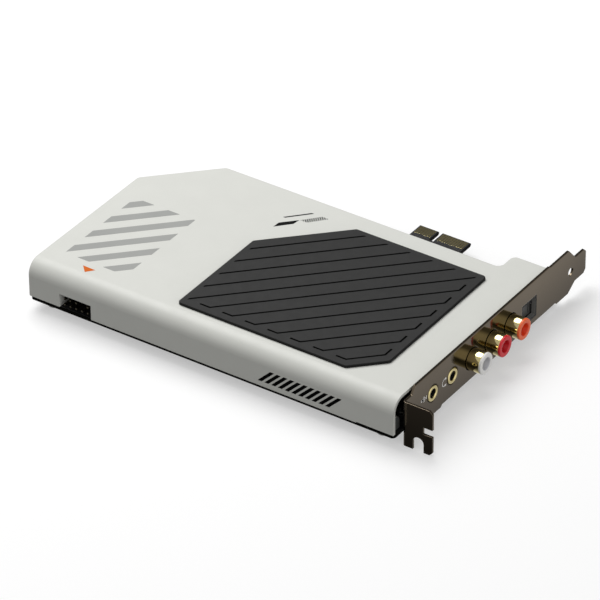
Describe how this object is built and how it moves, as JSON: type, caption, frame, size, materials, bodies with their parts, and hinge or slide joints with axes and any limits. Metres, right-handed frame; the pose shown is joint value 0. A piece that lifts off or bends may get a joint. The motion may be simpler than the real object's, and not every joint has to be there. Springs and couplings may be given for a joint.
{
  "type": "sound card",
  "caption": "Expansion sound card: board under a moulded cover with a grooved accent panel, on a slotted metal bracket with jack, phono and optical sockets.",
  "frame": {"origin": "middle of the key slot at the lower edge of the contact tongue, halfway through the board", "axes": "+X towards the bracket's outer face, +Y the way the card is pushed into its slot, +Z out of the component side"},
  "size_m": [0.1697, 0.1242, 0.0214],
  "materials": {
    "solder_mask": "black solder mask, satin",
    "gilt": "gold plate, polished",
    "black_nickel": "black nickel plate, glossy",
    "zinc_steel": "plated steel, satin",
    "cover_grey": "fine moulded texture",
    "accent_dark": "satin",
    "connector_black": "moulded, satin",
    "insulator_white": "glossy",
    "insulator_red": "glossy",
    "insulator_orange": "glossy",
    "shutter_grey": "satin",
    "chip_epoxy": "moulded epoxy",
    "can_aluminium": "drawn can",
    "film_block": "dipped",
    "relay_case": "moulded",
    "ferrite": "sintered, matt",
    "crystal_steel": "drawn can, satin",
    "ceramic": "fired ceramic",
    "resistor_black": "glazed",
    "tantalum": "moulded",
    "solder": "solder, bright"
  },
  "bodies": {
    "card": {"accent_panel": "accent_dark", "adc_chip": "chip_epoxy", "audio_processor": "chip_epoxy", "board": "solder_mask", "bracket": "black_nickel", "bracket_nuts": "zinc_steel", "bracket_screws": "zinc_steel", "bulk_capacitor_bases": "connector_black", "bulk_capacitors": "can_aluminium", "chip_capacitors": "ceramic", "chip_resistors": "resistor_black", "cover": "cover_grey", "cover_screws": "zinc_steel", "crystal_cans": "crystal_steel", "dac_chip": "chip_epoxy", "edge_contacts": "gilt", "film_capacitors": "film_block", "header_body": "connector_black", "header_pins": "gilt", "headphone_amp_chip": "chip_epoxy", "headphone_jack_bush": "gilt", "headphone_jack_housing": "connector_black", "inductors": "ferrite", "jack_contacts": "gilt", "memory_chip": "chip_epoxy", "microphone_jack_bush": "gilt", "microphone_jack_housing": "connector_black", "op_amp_chips": "chip_epoxy", "optical_emitter": "connector_black", "optical_housing": "connector_black", "phono_orange_barrel": "gilt", "phono_orange_contact": "gilt", "phono_orange_housing": "connector_black", "phono_orange_insulator": "insulator_orange", "phono_red_barrel": "gilt", "phono_red_contact": "gilt", "phono_red_housing": "connector_black", "phono_red_insulator": "insulator_red", "phono_white_barrel": "gilt", "phono_white_contact": "gilt", "phono_white_housing": "connector_black", "phono_white_insulator": "insulator_white", "regulators": "chip_epoxy", "relays": "relay_case", "solder_joints": "solder", "supply_capacitors": "tantalum"},
    "shutter": {"optical_shutter": "shutter_grey", "shutter_spring": "zinc_steel"}
  },
  "joints": [
    {"name": "shutter_hinge", "type": "hinge", "parent": "card", "child": "shutter", "pos_m": [0.05445, -0.02635, 0.0051], "axis": [0, 0, -1], "range_deg": [0, 88], "stiffness_Nm_per_rad": 0.0001}
  ]
}
